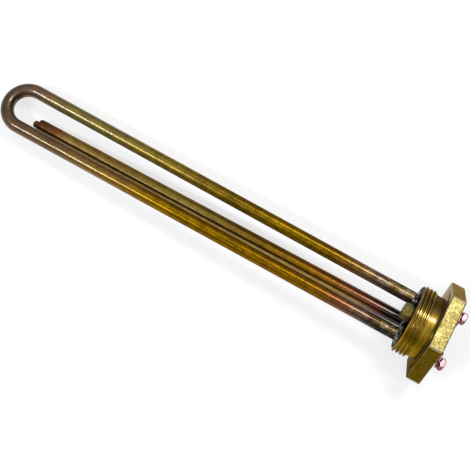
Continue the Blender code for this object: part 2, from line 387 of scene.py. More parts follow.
sunk = add_node(
    tree,
    "ShaderNodeMapRange",
    {
        "Value": to_crest.outputs[0],
        "From Min": sizes.outputs["Crest Half Width"],
        "From Max": root_place.outputs[0],
        "To Min": 0.0,
        "To Max": sizes.outputs["Depth"],
    },
    interpolation_type="SMOOTHSTEP",
)
thread_form = add_node(
    tree,
    "ShaderNodeMath",
    {0: sizes.outputs["Major Radius"], 1: sunk.outputs[0]},
    operation="SUBTRACT",
)
past_relief = add_node(
    tree,
    "ShaderNodeMath",
    {0: along.outputs[0], 1: sizes.outputs["Relief End"]},
    operation="SUBTRACT",
)
shoulder = add_node(
    tree, "ShaderNodeMath", {0: past_relief.outputs[0], 1: 0.0}, operation="MAXIMUM"
)
relief_form = add_node(
    tree,
    "ShaderNodeMath",
    {0: shoulder.outputs[0], 1: 1.6, 2: sizes.outputs["Relief Radius"]},
    operation="MULTIPLY_ADD",
)
to_face = add_node(
    tree,
    "ShaderNodeMath",
    {0: sizes.outputs["Inner Face"], 1: along.outputs[0]},
    operation="SUBTRACT",
)
chamfer_low = add_node(
    tree,
    "ShaderNodeMath",
    {0: sizes.outputs["Major Radius"], 1: sizes.outputs["Chamfer"]},
    operation="SUBTRACT",
)
chamfer_form = add_node(
    tree, "ShaderNodeMath", {0: to_face.outputs[0], 1: chamfer_low.outputs[0]}, operation="ADD"
)
lower = add_node(
    tree,
    "ShaderNodeMath",
    {0: thread_form.outputs[0], 1: relief_form.outputs[0]},
    operation="MINIMUM",
)
lowest = add_node(
    tree, "ShaderNodeMath", {0: lower.outputs[0], 1: chamfer_form.outputs[0]}, operation="MINIMUM"
)
after_first = add_node(
    tree, "ShaderNodeMath", {0: column.outputs[0], 1: 0.5}, operation="GREATER_THAN"
)
before_last = add_node(
    tree, "ShaderNodeMath", {0: column.outputs[0], 1: columns - 1.5}, operation="LESS_THAN"
)
on_side = add_node(
    tree,
    "ShaderNodeMath",
    {0: after_first.outputs[0], 1: before_last.outputs[0]},
    operation="MULTIPLY",
)
reach = add_node(
    tree, "ShaderNodeMath", {0: lowest.outputs[0], 1: on_side.outputs[0]}, operation="MULTIPLY"
)
cosine = add_node(tree, "ShaderNodeMath", {0: turn.outputs[0]}, operation="COSINE")
sine = add_node(tree, "ShaderNodeMath", {0: turn.outputs[0]}, operation="SINE")
reach_y = add_node(
    tree, "ShaderNodeMath", {0: reach.outputs[0], 1: cosine.outputs[0]}, operation="MULTIPLY"
)
reach_z = add_node(
    tree, "ShaderNodeMath", {0: reach.outputs[0], 1: sine.outputs[0]}, operation="MULTIPLY"
)
wrapped = add_node(
    tree,
    "ShaderNodeCombineXYZ",
    {"X": along.outputs[0], "Y": reach_y.outputs[0], "Z": reach_z.outputs[0]},
)
barrel = add_node(
    tree,
    "GeometryNodeSetPosition",
    {"Geometry": sheet.outputs["Mesh"], "Position": wrapped.outputs[0]},
)
closed = add_node(
    tree, "GeometryNodeMergeByDistance", {"Geometry": barrel.outputs[0], "Distance": 0.002 * mm}
)
real = add_node(tree, "GeometryNodeRealizeInstances", {"Geometry": closed.outputs[0]})
finished = add_node(
    tree, "GeometryNodeSetMaterial", {"Geometry": real.outputs[0], "Material": turned_brass}
)
add_node(tree, "NodeGroupOutput", {"Geometry": finished.outputs[0]})
blank = bpy.data.objects.new("barrel_blank", bpy.data.meshes.new("barrel_blank"))
bpy.context.scene.collection.objects.link(blank)
plug_barrel = grown(
    "plug_barrel",
    blank,
    tree,
    start=8.3 * mm,
    relief_end=13.5 * mm,
    inner_face=inner_face_x,
    relief_radius=19.4 * mm,
    major_radius=thread_major_radius,
    depth=1.479 * mm,
    pitch=2.309 * mm,
    crest_half_width=0.26 * mm,
    chamfer=1.0 * mm,
    crest_place=21.42 * mm,
)


# Bores: the tubes pass through three holes drilled right through the plug, a little larger than
# the tubes, with the solder in the gap. The lowest takes the pocket and stays open to the back.
tube_radius = 4.0 * mm
leg_spacing = 23.2 * mm
pocket_offset = 9.6 * mm


def drilled(piece, centres, radius, low_x, high_x):
    """Cut straight round holes along X through a piece."""
    for y, z in centres:
        bm = bmesh.new()
        middle = Matrix.Translation(((low_x + high_x) / 2, y, z)) @ Matrix.Rotation(
            math.pi / 2, 4, "Y"
        )
        bmesh.ops.create_cone(
            bm,
            cap_ends=True,
            segments=64,
            radius1=radius,
            radius2=radius,
            depth=high_x - low_x,
            matrix=middle,
        )
        mesh = bpy.data.meshes.new("drill")
        bm.to_mesh(mesh)
        bm.free()
        drill = bpy.data.objects.new("drill", mesh)
        bpy.context.scene.collection.objects.link(drill)
        modifier = piece.modifiers.new("drill", "BOOLEAN")
        modifier.operation = "DIFFERENCE"
        modifier.solver = "EXACT"
        modifier.object = drill
        graph = bpy.context.evaluated_depsgraph_get()
        cut = bpy.data.meshes.new_from_object(piece.evaluated_get(graph), depsgraph=graph)
        piece.modifiers.clear()
        piece.data = cut
        bpy.data.objects.remove(drill)


pocket_centre = (0.3 * mm, -pocket_offset)
pocket_radius = tube_radius + 0.3 * mm
tube_centres = [(leg_spacing / 2, 0.0), (-leg_spacing / 2, 0.0)]
bore_radius = tube_radius + 0.3 * mm
pocket_bore_radius = pocket_radius + 0.2 * mm
thread_smoothing = 40
smooth(plug_barrel, angle=thread_smoothing)
drilled(plug_barrel, tube_centres, bore_radius, low_x=0.0, high_x=30 * mm)
drilled(plug_barrel, [pocket_centre], pocket_bore_radius, low_x=0.0, high_x=30 * mm)
plug_barrel.data.set_sharp_from_angle(angle=math.radians(thread_smoothing))
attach(plug_barrel, "root")
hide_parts("plug_body")


# Hexagon: the forged head of the plug, 55 mm across its flats, with a raised seat turned on its
# tank side. The flats keep the grainy skin of the forging die, like coarse sand, and the two ends
# are faced off on the lathe.
across_flats = 55.0 * mm
corner_radius = 1.5 * mm
rim_radius = 0.8 * mm
seat_radius = 24.5 * mm

# Forged brass: a grain of about half a millimetre, pale gold on its tops and brown in its pits.
tree, shader, forged_brass = new_material("forged_brass", 1.0, 0.38, coat_roughness=0.34)
place, split, radius = plug_place(tree)
grain = add_node(
    tree,
    "ShaderNodeTexNoise",
    {"Vector": place, "Scale": 1 / (0.8 * mm), "Detail": 3.0, "Roughness": 0.65},
)
patches = add_node(tree, "ShaderNodeTexNoise", {"Vector": place, "Scale": 1 / (9 * mm)})
blend = add_node(tree, "ShaderNodeMath", {0: grain.outputs["Fac"], 1: 0.6}, operation="MULTIPLY")
blend = add_node(
    tree,
    "ShaderNodeMath",
    {0: patches.outputs["Fac"], 1: 0.4, 2: blend.outputs[0]},
    operation="MULTIPLY_ADD",
)
skin = add_node(tree, "ShaderNodeValToRGB", {"Fac": blend.outputs[0]})
set_ramp(skin, [(0.37, "#6a5414"), (0.46, "#96823a"), (0.53, "#b8a858"), (0.62, "#ebe096")])
# Painted shade and reflection on four of the flats: those towards +Y are darkened to olive,
# those towards -Y to brown.
across = split.outputs["Y"]
plus_y_flat_shade, skin = stained(
    tree, skin.outputs["Color"], colour("#5a4400"), across, (15 * mm, 16.5 * mm), (0.0, 0.93)
)
minus_y_flat_shade, skin = stained(tree, skin, colour("#6b5346"), across, (-15 * mm, -16.5 * mm), (0.0, 0.85))
side_flats_shade = add_node(tree, "ShaderNodeMath", {0: plus_y_flat_shade, 1: minus_y_flat_shade}, operation="MAXIMUM")
unshaded_coat = add_node(
    tree,
    "ShaderNodeMapRange",
    {"Value": side_flats_shade.outputs[0], "From Max": 0.85, "To Min": 0.35, "To Max": 0.0},
)
tree.links.new(unshaded_coat.outputs[0], shader.inputs["Coat Weight"])
shader.inputs["Specular Tint"].default_value = colour("#dcc795")
# Pale band round every corner: partly wear on the corners, partly a painted highlight.
corner_sheen_and_wear = (31.12 * mm, 31.32 * mm)
_, skin = stained(tree, skin, colour("#cfc49c"), radius, corner_sheen_and_wear, (0.0, 0.6))
tree.links.new(skin, shader.inputs["Base Color"])
pitted = add_node(
    tree,
    "ShaderNodeBump",
    {"Height": grain.outputs["Fac"], "Strength": 0.8, "Distance": 0.3 * mm},
)
tree.links.new(pitted.outputs["Normal"], shader.inputs["Normal"])

# Faced brass: the ends, cut by a tool fed towards the centre, so its rings share the plug's axis.
# They are drawn five times as coarse as the tool's feed, or the picture would lose them.
faced_pitch = 1.3 * mm
tree, shader, faced_brass = new_material("faced_brass", 1.0, 0.30)
place, split, radius = plug_place(tree)
# Painted shade: the ends' reflections grow darker towards +Y through their edge tint.
plus_y_face_shade, edge_tint = stained(
    tree, colour("#f2ead4"), colour("#8e7e20"), split.outputs["Y"], (0.0, 16 * mm)
)
tree.links.new(edge_tint, shader.inputs["Specular Tint"])
tones = [(0.34, "#6c5a30"), (0.52, "#837451"), (0.68, "#978a6b")]
_, dull = patchy(tree, place, 6.25 * mm, tones, detail=5.0, roughness=0.6)
rings = add_node(
    tree,
    "ShaderNodeTexWave",
    {"Vector": place, "Scale": math.pi / (10 * faced_pitch), "Distortion": 1.2},
    wave_type="RINGS",
    rings_direction="X",
)
ringed = shaded(tree, dull, rings.outputs["Fac"], (0.0, 1.0), (0.78, 1.10))
# Dirt and painted shade in the corner round the raised seat, on the side towards the tank.
from_corner = add_node(
    tree, "ShaderNodeMath", {0: radius, 1: seat_radius + 0.4 * mm}, operation="SUBTRACT"
)
from_corner = add_node(tree, "ShaderNodeMath", {0: from_corner.outputs[0]}, operation="ABSOLUTE")
in_corner = add_node(
    tree,
    "ShaderNodeMapRange",
    {
        "Value": from_corner.outputs[0],
        "From Min": 0.3 * mm,
        "From Max": 0.8 * mm,
        "To Min": 0.85,
        "To Max": 0.0,
    },
)
tank_side = add_node(
    tree,
    "ShaderNodeMapRange",
    {
        "Value": split.outputs["X"],
        "From Min": hexagon_thickness - 1.5 * mm,
        "From Max": hexagon_thickness - 0.5 * mm,
    },
)
corner_dirt_and_shade = add_node(
    tree,
    "ShaderNodeMath",
    {0: in_corner.outputs[0], 1: tank_side.outputs[0]},
    operation="MULTIPLY",
)
corner_dirt_and_shade_tone = add_node(
    tree,
    "ShaderNodeMix",
    {"Factor": plus_y_face_shade, 6: colour("#281b06"), 7: colour("#584208")},
    data_type="RGBA",
)
corner_dirtied_and_shaded = add_node(
    tree,
    "ShaderNodeMix",
    {"Factor": corner_dirt_and_shade.outputs[0], 6: ringed, 7: corner_dirt_and_shade_tone.outputs[2]},
    data_type="RGBA",
)
tree.links.new(corner_dirtied_and_shaded.outputs[2], shader.inputs["Base Color"])
scored = add_node(
    tree,
    "ShaderNodeBump",
    {"Height": rings.outputs["Fac"], "Strength": 0.2, "Distance": 0.1 * mm},
)
tree.links.new(scored.outputs["Normal"], shader.inputs["Normal"])


def hexagon_outline(width, rounding, steps):
    """Points (y, z) round a hexagon with rounded corners, two of them on the Y line."""
    centre_distance = (width / 2 - rounding) / math.cos(math.radians(30))
    outline = []
    for corner in range(6):
        middle = math.radians(60) * corner
        for step in range(steps + 1):
            angle = middle + math.radians(60) * (step / steps - 0.5)
            y = centre_distance * math.cos(middle) + rounding * math.cos(angle)
            z = centre_distance * math.sin(middle) + rounding * math.sin(angle)
            outline.append((y, z))
    return outline


def skinned(name, rings, materials, loop=False):
    """A closed mesh through rings of (x, y, z) points that all have the same count."""
    bm = bmesh.new()
    rows = [[bm.verts.new(point) for point in ring] for ring in rings]
    pairs = list(zip(rows, rows[1:]))
    if loop:
        pairs.append((rows[-1], rows[0]))
    else:
        bm.faces.new(rows[0])
        bm.faces.new(rows[-1])
    for first, second in pairs:
        for corner in range(len(first)):
            following = (corner + 1) % len(first)
            bm.faces.new((first[corner], first[following], second[following], second[corner]))
    mesh = bpy.data.meshes.new(name)
    bm.to_mesh(mesh)
    bm.free()
    piece = bpy.data.objects.new(name, mesh)
    bpy.context.scene.collection.objects.link(piece)
    for material in materials:
        mesh.materials.append(material)
    return piece


def turned_rings(profile, centre, sides):
    """Rings of points for a profile of (x, radius) turned about a line along X."""
    y, z = centre
    turns = [2 * math.pi * step / sides for step in range(sides)]
    return [
        [(x, y + radius * math.cos(turn), z + radius * math.sin(turn)) for turn in turns]
        for x, radius in profile
    ]


rings = []
rim_steps = 6
for step in range(rim_steps + 1):
    angle = math.pi / 2 * step / rim_steps
    depth = rim_radius * (1 - math.cos(angle))
    inset = rim_radius * (1 - math.sin(angle))
    outline = hexagon_outline(across_flats - 2 * inset, corner_radius - inset, steps=10)
    rings.append([(depth, y, z) for y, z in outline])
rings += [
    [(hexagon_thickness - x, y, z) for x, y, z in ring] for ring in reversed(rings)
]
# The seat's edge is softened where the gasket beds, and meets the hexagon in a small hollow.
seat_profile = [
    (hexagon_thickness, seat_radius + 0.25 * mm),
    (hexagon_thickness + 0.08 * mm, seat_radius + 0.07 * mm),
    (hexagon_thickness + 0.25 * mm, seat_radius),
    (hexagon_thickness + 0.38 * mm, seat_radius - 0.03 * mm),
    (hexagon_thickness + 0.47 * mm, seat_radius - 0.12 * mm),
    (seat_x, seat_radius - 0.25 * mm),
]
hexagon = skinned("plug_hexagon", rings, [faced_brass, forged_brass])
seat_foot = (7.0 * mm, seat_radius - 1.0 * mm)
seat = skinned(
    "seat", turned_rings([seat_foot] + seat_profile, (0.0, 0.0), sides=192), [faced_brass]
)
union = hexagon.modifiers.new("seat", "BOOLEAN")
union.operation = "UNION"
union.solver = "EXACT"
union.object = seat
graph = bpy.context.evaluated_depsgraph_get()
joined = bpy.data.meshes.new_from_object(hexagon.evaluated_get(graph), depsgraph=graph)
hexagon.modifiers.clear()
hexagon.data = joined
bpy.data.objects.remove(seat)
for face in hexagon.data.polygons:
    face.material_index = 0 if abs(face.normal.x) > 0.5 else 1
    if Vector(face.center[1:]).length < seat_radius + 0.5 * mm:
        face.material_index = 0
drilled(hexagon, tube_centres, bore_radius, low_x=-5 * mm, high_x=15 * mm)
drilled(hexagon, [pocket_centre], pocket_bore_radius, low_x=-5 * mm, high_x=15 * mm)
smooth(hexagon)
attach(hexagon, "root")
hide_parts("plug_body")


# Heating element: one copper tube, bent into a hairpin after it is filled, its two ends brazed
# into the plug. Firing and use have left an oxide skin on it: brown at the bend, olive gold along
# the legs, red and black where the brazing torch played beside the plug, where painted shade also
# darkens the legs' flanks.
tube_wall = 0.8 * mm
bend_centre_x = inner_face_x + 254.1 * mm
bend_centre_y = -2.8 * mm
bend_radius = 12.2 * mm
tube_start_x = -1.0 * mm


# What both drawn copper tubes of the heater show: oxide that changes along them with wandering
# edges, fine lines from the drawing die, and a mottle from the boiling water. The lines are drawn
# about ten times as coarse as real ones, so that they show.
def oxide_bands(tree, place, along, patch, end_x):
    """How far along the tube the oxide is: in metres, and from 0 at the plug to 1 at its end."""
    wander = add_node(
        tree,
        "ShaderNodeTexNoise",
        {"Vector": place, "Scale": 1 / patch, "Detail": 5.0, "Roughness": 0.65},
    )
    shift = add_node(
        tree,
        "ShaderNodeMath",
        {0: wander.outputs["Fac"], 1: 14 * mm, 2: -7 * mm},
        operation="MULTIPLY_ADD",
    )
    shifted = add_node(tree, "ShaderNodeMath", {0: along, 1: shift.outputs[0]}, operation="ADD")
    band = add_node(
        tree,
        "ShaderNodeMapRange",
        {"Value": shifted.outputs[0], "From Min": inner_face_x, "From Max": end_x},
    )
    return shifted.outputs[0], band.outputs[0]


def drawn_lines(tree, shader, surface, stretch, under, matt):
    """Lines from the die: they tone a colour, make a roughness vary and score the surface."""
    stretched = add_node(
        tree, "ShaderNodeVectorMath", {0: surface, 1: stretch}, operation="MULTIPLY"
    )
    lines = add_node(
        tree,
        "ShaderNodeTexNoise",
        {
            "Vector": stretched.outputs[0],
            "Scale": 1 / (2.2 * mm),
            "Detail": 4.0,
            "Roughness": 0.6,
        },
    )
    scored = add_node(
        tree,
        "ShaderNodeBump",
        {"Height": lines.outputs["Fac"], "Strength": 0.05, "Distance": 0.12 * mm},
    )
    tree.links.new(scored.outputs["Normal"], shader.inputs["Normal"])
    swing = add_node(
        tree,
        "ShaderNodeMapRange",
        {
            "Value": lines.outputs["Fac"],
            "From Min": 0.3,
            "From Max": 0.7,
            "To Min": -0.03,
            "To Max": 0.05,
        },
    )
    worn = add_node(tree, "ShaderNodeMath", {0: matt, 1: swing.outputs[0]}, operation="ADD")
    lined = shaded(tree, under, lines.outputs["Fac"], (0.3, 0.7), (0.74, 1.22))
    return lined, worn.outputs[0]


def boiled_mottle(tree, surface, under):
    """A mottle of 5 mm patches over a colour, and the pattern it follows."""
    mottle = add_node(
        tree,
        "ShaderNodeTexNoise",
        {"Vector": surface, "Scale": 1 / (5 * mm), "Detail": 3.0, "Roughness": 0.85},
    )
    mottled = shaded(tree, under, mottle.outputs["Fac"], (0.3, 0.7), (0.66, 1.34))
    return mottle.outputs["Fac"], mottled


def set_curve(node, stops):
    """Give a curve its stops, as (place, height) pairs."""
    curve = node.mapping.curves[0]
    first, last = list(curve.points)
    first.location, last.location = stops[0], stops[-1]
    for stop in stops[1:-1]:
        curve.points.new(*stop)
    node.mapping.update()


# Tarnished copper: the oxide film takes its colour from its thickness, so the colours run in
# bands along the tube. The film is glassy and adds a thin clear shine over the metal.
tree, shader, tarnished_copper = new_material("tarnished_copper", 1.0, 0.27, coat_roughness=0.12)
place = add_node(tree, "ShaderNodeTexCoord").outputs["Object"]
split = add_node(tree, "ShaderNodeSeparateXYZ", {0: place})
around = add_node(tree, "ShaderNodeAttribute", attribute_name="around")
distance = add_node(tree, "ShaderNodeAttribute", attribute_name="along")
section_place = add_node(
    tree,
    "ShaderNodeVectorMath",
    {0: around.outputs["Vector"], 1: (1.0, 1.0, 0.0)},
    operation="MULTIPLY",
)
lengthwise = add_node(tree, "ShaderNodeCombineXYZ", {"Z": distance.outputs["Fac"]})
unrolled = add_node(
    tree, "ShaderNodeVectorMath", {0: section_place.outputs[0], 1: lengthwise.outputs[0]}
).outputs[0]
tube_end_x = bend_centre_x + bend_radius + tube_radius
shifted, band = oxide_bands(tree, place, split.outputs["X"], 11.11 * mm, tube_end_x)
upper = add_node(tree, "ShaderNodeValToRGB", {"Fac": band})
set_ramp(
    upper,
    [
        (0.000, "#7d6156"),
        (0.030, "#b29b6a"),
        (0.060, "#6f4f1d"),
        (0.085, "#5e2f07"),
        (0.120, "#795603"),
        (0.190, "#715102"),
        (0.300, "#856701"),
        (0.440, "#725a10"),
        (0.600, "#927a2c"),
        (0.760, "#79690f"),
        (0.880, "#7c691f"),
        (0.930, "#74553a"),
        (1.000, "#4b3b26"),
    ],
)
lower = add_node(tree, "ShaderNodeValToRGB", {"Fac": band})
set_ramp(
    lower,
    [
        (0.000, "#31150b"),
        (0.030, "#4b2c1a"),
        (0.060, "#432d07"),
        (0.085, "#663403"),
        (0.120, "#773500"),
        (0.190, "#755100"),
        (0.300, "#7e5a01"),
        (0.440, "#7d5c01"),
        (0.600, "#856301"),
        (0.760, "#7f5c00"),
        (0.860, "#634703"),
        (0.930, "#664824"),
        (1.000, "#4b3b26"),
    ],
)
which_leg = add_node(
    tree,
    "ShaderNodeMapRange",
    {"Value": split.outputs["Y"], "From Min": -8 * mm, "From Max": 3 * mm},
)
film = add_node(
    tree,
    "ShaderNodeMix",
    {"Factor": which_leg.outputs[0], 6: upper.outputs["Color"], 7: lower.outputs["Color"]},
    data_type="RGBA",
)
matt = add_node(tree, "ShaderNodeFloatCurve", {"Value": band})
set_curve(
    matt,
    ((0, 0.44), (0.07, 0.42), (0.14, 0.31), (0.35, 0.28), (0.62, 0.27), (0.85, 0.42), (1, 0.33)),
)
streaked, worn = drawn_lines(
    tree, shader, unrolled, (1.0, 1.0, 0.02), film.outputs[2], matt.outputs[0]
)
blotches = add_node(
    tree,
    "ShaderNodeTexNoise",
    {"Vector": unrolled, "Scale": 1 / (7 * mm), "Detail": 3.0, "Roughness": 0.7},
)
_, blotched = stained(
    tree, streaked, colour("#5f3817"), blotches.outputs["Fac"], (0.50, 0.74), (0.0, 0.55)
)
mottle, mottled = boiled_mottle(tree, unrolled, blotched)
# Beside the plug the flux of the brazing has left patches: red, green grey, lilac and cream.
tones = [
    (0.36, "#3a0f08"),
    (0.45, "#6b471b"),
    (0.53, "#70703f"),
    (0.60, "#a9826c"),
    (0.67, "#e0d2b8"),
]
_, flux = patchy(tree, unrolled, 5 * mm, tones, roughness=0.7)
flux_reach = (38 * mm, 60 * mm)
fluxed_part, fluxed = stained(tree, mottled, flux, shifted, flux_reach, (0.72, 0.0))
# Painted shade: the legs' flanks there are darkened almost to black.
side = add_node(tree, "ShaderNodeMath", {0: split.outputs["Y"]}, operation="SIGN")
flank = add_node(
    tree,
    "ShaderNodeMath",
    {0: side.outputs[0], 1: -leg_spacing / 2, 2: split.outputs["Y"]},
    operation="MULTIPLY_ADD",
)
flank = add_node(tree, "ShaderNodeMath", {0: flank.outputs[0], 1: 0.6 * mm}, operation="ADD")
flank = add_node(tree, "ShaderNodeMath", {0: flank.outputs[0]}, operation="ABSOLUTE")
flank = add_node(
    tree,
    "ShaderNodeMapRange",
    {"Value": flank.outputs[0], "From Min": 1.6 * mm, "From Max": 2.8 * mm, "To Max": 1.2},
)
flank_shade_part = add_node(
    tree, "ShaderNodeMath", {0: flank.outputs[0], 1: fluxed_part}, operation="MULTIPLY"
)
flank_shaded = add_node(
    tree,
    "ShaderNodeMix",
    {"Factor": flank_shade_part.outputs[0], 6: fluxed, 7: colour("#170c05")},
    data_type="RGBA",
)
tree.links.new(flank_shaded.outputs[2], shader.inputs["Base Color"])
edge_tint = add_node(
    tree,
    "ShaderNodeMix",
    {"Factor": fluxed_part, 6: colour("#a0956e"), 7: colour("#4a3c30")},
    data_type="RGBA",
)
tree.links.new(edge_tint.outputs[2], shader.inputs["Specular Tint"])
# Scale from boiling dulls it in spots, most of all in the half beside the plug.
scale_swing = add_node(
    tree,
    "ShaderNodeMapRange",
    {"Value": band, "From Min": 0.35, "From Max": 0.60, "To Min": 0.55, "To Max": 0.10},
)
scale_spots = add_node(tree, "ShaderNodeMath", {0: mottle, 1: -0.5}, operation="ADD")
scaled = add_node(
    tree,
    "ShaderNodeMath",
    {0: scale_spots.outputs[0], 1: scale_swing.outputs[0], 2: worn},
    operation="MULTIPLY_ADD",
)
tree.links.new(scaled.outputs[0], shader.inputs["Roughness"])
glassy = add_node(tree, "ShaderNodeFloatCurve", {"Value": band})
set_curve(
    glassy,
    (
        (0, 0.15),
        (0.06, 0.30),
        (0.09, 1.0),
        (0.20, 0.12),
        (0.55, 0.08),
        (0.68, 0.60),
        (0.80, 1.0),
        (1, 1.0),
    ),
)
tree.links.new(glassy.outputs[0], shader.inputs["Coat Weight"])

# The tube follows its centre line, and the outside carries how far along and how far round each
# point is, so that the oxide's streaks run round the bend with the tube.
route = []
bend_steps = 96
for step in range(bend_steps + 1):
    angle = math.pi / 2 - math.pi * step / bend_steps
    route.append(
        (
            bend_centre_x + bend_radius * math.cos(angle),
            bend_centre_y + bend_radius * math.sin(angle),
            0.0,
        )
    )
first_leg = [(tube_start_x, leg_spacing / 2, 0.0), (inner_face_x, leg_spacing / 2, 0.0)]
last_leg = [(inner_face_x, -leg_spacing / 2, 0.0), (tube_start_x, -leg_spacing / 2, 0.0)]
route = first_leg + route + last_leg
line = bpy.data.curves.new("element_line", "CURVE")
line.dimensions = "3D"
spline = line.splines.new("POLY")
spline.points.add(len(route) - 1)
for point, spot in zip(spline.points, route):
    point.co = (*spot, 1.0)
centre_line = bpy.data.objects.new("element_line", line)
bpy.context.scene.collection.objects.link(centre_line)

tree, sizes = new_tree("bent_tube", tube_radius=0)
passed = add_node(tree, "GeometryNodeSplineParameter")
marked = add_node(
    tree,
    "GeometryNodeStoreNamedAttribute",
    {"Geometry": sizes.outputs["Geometry"], "Name": "along", "Value": passed.outputs["Length"]},
    data_type="FLOAT",
    domain="POINT",
)
section = add_node(
    tree,
    "GeometryNodeCurvePrimitiveCircle",
    {"Resolution": 64, "Radius": sizes.outputs["Tube Radius"]},
)
rim_place = add_node(tree, "GeometryNodeInputPosition")
marked_section = add_node(
    tree,
    "GeometryNodeStoreNamedAttribute",
    {"Geometry": section.outputs["Curve"], "Name": "around", "Value": rim_place.outputs[0]},
    data_type="FLOAT_VECTOR",
    domain="POINT",
)
outside = add_node(
    tree,
    "GeometryNodeCurveToMesh",
    {"Curve": marked.outputs[0], "Profile Curve": marked_section.outputs[0]},
)
real = add_node(tree, "GeometryNodeRealizeInstances", {"Geometry": outside.outputs[0]})
finished = add_node(
    tree, "GeometryNodeSetMaterial", {"Geometry": real.outputs[0], "Material": tarnished_copper}
)
add_node(tree, "NodeGroupOutput", {"Geometry": finished.outputs[0]})
sheath = grown("element_sheath_tube", centre_line, tree, tube_radius=tube_radius)
smooth(sheath)
wall = sheath.modifiers.new("wall", "SOLIDIFY")
wall.thickness = tube_wall
wall.offset = -1.0
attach(sheath, "root")
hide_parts("element_sheath")


# Inside the sheath: resistance wire between two steel pins, packed in white magnesia and closed
# at each end by a silicone seal. None of it shows but the seals' ends and the pins, so the parts
# stay as the solids and take their real finishes.
def grained(name, metallic, roughness, grain, tones, detail=3.0, stretch=(1.0, 1.0, 1.0)):
    """A material whose colour changes between its tones from one grain to the next."""
    tree, shader, material = new_material(name, metallic, roughness)
    place = add_node(tree, "ShaderNodeTexCoord")
    stretched = add_node(
        tree,
        "ShaderNodeVectorMath",
        {0: place.outputs["Object"], 1: stretch},
        operation="MULTIPLY",
    )
    _, tone = patchy(tree, stretched.outputs[0], grain, tones, detail=detail)
    tree.links.new(tone, shader.inputs["Base Color"])
    return material


# Packed magnesia is a chalky white powder. Nickel-chrome wire is grey with its first oxide. Drawn
# steel has fine lines along it. Cured silicone is brick red and rubbery, with a low shine.
packed_magnesia = grained(
    "packed_magnesia",
    metallic=0.0,
    roughness=0.92,
    grain=0.6 * mm,
    tones=[(0.35, "#d8d5cc"), (0.65, "#f0eee8")],
)
nickel_chrome = grained(
    "nickel_chrome_wire",
    metallic=1.0,
    roughness=0.4,
    grain=1.5 * mm,
    tones=[(0.4, "#6e6a64"), (0.6, "#a19d98")],
    detail=2.0,
)
drawn_steel = grained(
    "drawn_steel",
    metallic=1.0,
    roughness=0.34,
    grain=0.4 * mm,
    tones=[(0.35, "#8c8a86"), (0.65, "#c0beba")],
    stretch=(0.1, 1.0, 1.0),
)
silicone = grained(
    "cured_silicone",
    metallic=0.0,
    roughness=0.5,
    grain=1.2 * mm,
    tones=[(0.35, "#8e3a28"), (0.65, "#a84a34")],
    detail=2.0,
)

inside = {
    "magnesia_fill": packed_magnesia,
    "heating_coil": nickel_chrome,
    "cold_pin_a": drawn_steel,
    "cold_pin_b": drawn_steel,
    "end_seal_a": silicone,
    "end_seal_b": silicone,
}
for node, material in inside.items():
    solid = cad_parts[node]
    solid.data.materials.clear()
    solid.data.materials.append(material)


# Thermostat pocket: a straight copper tube beside the element, open behind the hexagon for the
# feeler. Its far end is swaged down in a press and pinched off to a rounded nipple.
pocket_tip_x = inner_face_x + 249.8 * mm
neck_x = inner_face_x + 246.7 * mm
neck_radius = 1.9 * mm
nipple_radius = 2.2 * mm

# Fired copper: the same metal as the element, but hotter when it was brazed, so it is redder and
# ends black beside the plug. The swaged end is purple brown.
tree, shader, fired_copper = new_material("fired_copper", 1.0, 0.27, coat_roughness=0.12)
shader.inputs["Specular Tint"].default_value = colour("#90866a")
place = add_node(tree, "ShaderNodeTexCoord").outputs["Object"]
split = add_node(tree, "ShaderNodeSeparateXYZ", {0: place})
_, band = oxide_bands(tree, place, split.outputs["X"], 9.09 * mm, pocket_tip_x)
glassy = add_node(
    tree,
    "ShaderNodeMapRange",
    {"Value": band, "From Min": 0.09, "From Max": 0.20, "To Min": 0.75, "To Max": 0.15},
)
tree.links.new(glassy.outputs[0], shader.inputs["Coat Weight"])
film = add_node(tree, "ShaderNodeValToRGB", {"Fac": band})
set_ramp(
    film,
    [
        (0.000, "#040201"),
        (0.035, "#0f0301"),
        (0.070, "#5c250b"),
        (0.120, "#6a3913"),
        (0.180, "#764b0d"),
        (0.260, "#7b5502"),
        (0.400, "#664c10"),
        (0.600, "#816a2e"),
        (0.780, "#886c2f"),
        (0.900, "#977a44"),
        (0.935, "#8a5a2c"),
        (0.970, "#6b4527"),
        (1.000, "#5a4233"),
    ],
)
matt = add_node(
    tree,
    "ShaderNodeMapRange",
    {"Value": band, "From Min": 0.02, "From Max": 0.70, "To Min": 0.38, "To Max": 0.43},
)
streaked, worn = drawn_lines(
    tree, shader, place, (0.02, 1.0, 1.0), film.outputs["Color"], matt.outputs[0]
)
tree.links.new(worn, shader.inputs["Roughness"])
# Towards the element's leg, painted shade darkens the pocket in the angle between the two tubes,
# and the flank below it carries a painted reflection in pale metal.
between_tubes_side = add_node(
    tree,
    "ShaderNodeMapRange",
    {"Value": split.outputs["Y"], "From Min": 1.6 * mm, "From Max": 2.2 * mm},
)
between_tubes_shade = add_node(
    tree,
    "ShaderNodeMapRange",
    {"Value": band, "From Min": 0.08, "From Max": 0.35, "To Min": 0.15, "To Max": 0.70},
)
between_tubes_shade = add_node(
    tree,
    "ShaderNodeMath",
    {0: between_tubes_side.outputs[0], 1: between_tubes_shade.outputs[0]},
    operation="MULTIPLY",
)
between_tubes_shaded = add_node(
    tree,
    "ShaderNodeMix",
    {"Factor": between_tubes_shade.outputs[0], 6: streaked, 7: colour("#2c1a06")},
    data_type="RGBA",
)
